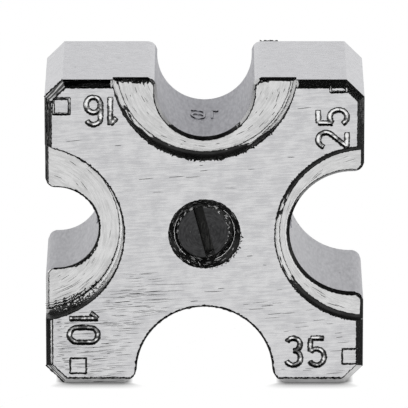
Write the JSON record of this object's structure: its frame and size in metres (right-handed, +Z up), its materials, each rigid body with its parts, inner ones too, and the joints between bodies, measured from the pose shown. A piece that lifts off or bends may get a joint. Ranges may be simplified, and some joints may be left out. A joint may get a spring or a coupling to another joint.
{
  "type": "crimp die insert",
  "caption": "Square steel crimp die insert with a half-round nest in each side, milled steps on its front face, and a slotted spring ball plunger screwed through its middle.",
  "frame": {"origin": "the point where the plunger's axis meets the block's back face, which seats in the tool", "axes": "+Y along the plunger's axis and out of the back face, +X right and +Z up as the front is seen, with the insert standing on its bottom side"},
  "size_m": [0.032, 0.0155, 0.032],
  "materials": {
    "plated_tool_steel": "hardened tool steel, ground and nickel plated",
    "black_oxide_steel": "turned steel, black oxide",
    "spring_wire": "drawn spring wire, lightly oiled",
    "ball_steel": "hardened and polished bearing ball"
  },
  "bodies": {
    "block": {"die_block": "plated_tool_steel"},
    "spring": {"plunger_spring": "spring_wire"},
    "sleeve": {"plunger_sleeve": "black_oxide_steel"},
    "ball": {"detent_ball": "ball_steel"}
  },
  "joints": [
    {"name": "plunger_advance", "type": "slide", "parent": "block", "child": "spring", "axis": [0, 1, 0], "range_m": [-0.0005, 0]},
    {"name": "plunger_turn", "type": "hinge", "parent": "spring", "child": "sleeve", "pos_m": [0, 0, 0], "axis": [0, 1, 0], "range_deg": [-180, 0]},
    {"name": "ball_press", "type": "slide", "parent": "spring", "child": "ball", "axis": [0, -1, 0], "range_m": [0, 0.001], "stiffness_N_per_m": 7000, "deforming": ["plunger_spring"]}
  ],
  "couplings": [
    {"joint": "plunger_turn", "follows": "plunger_advance", "rad_per_m": 6283.2}
  ]
}
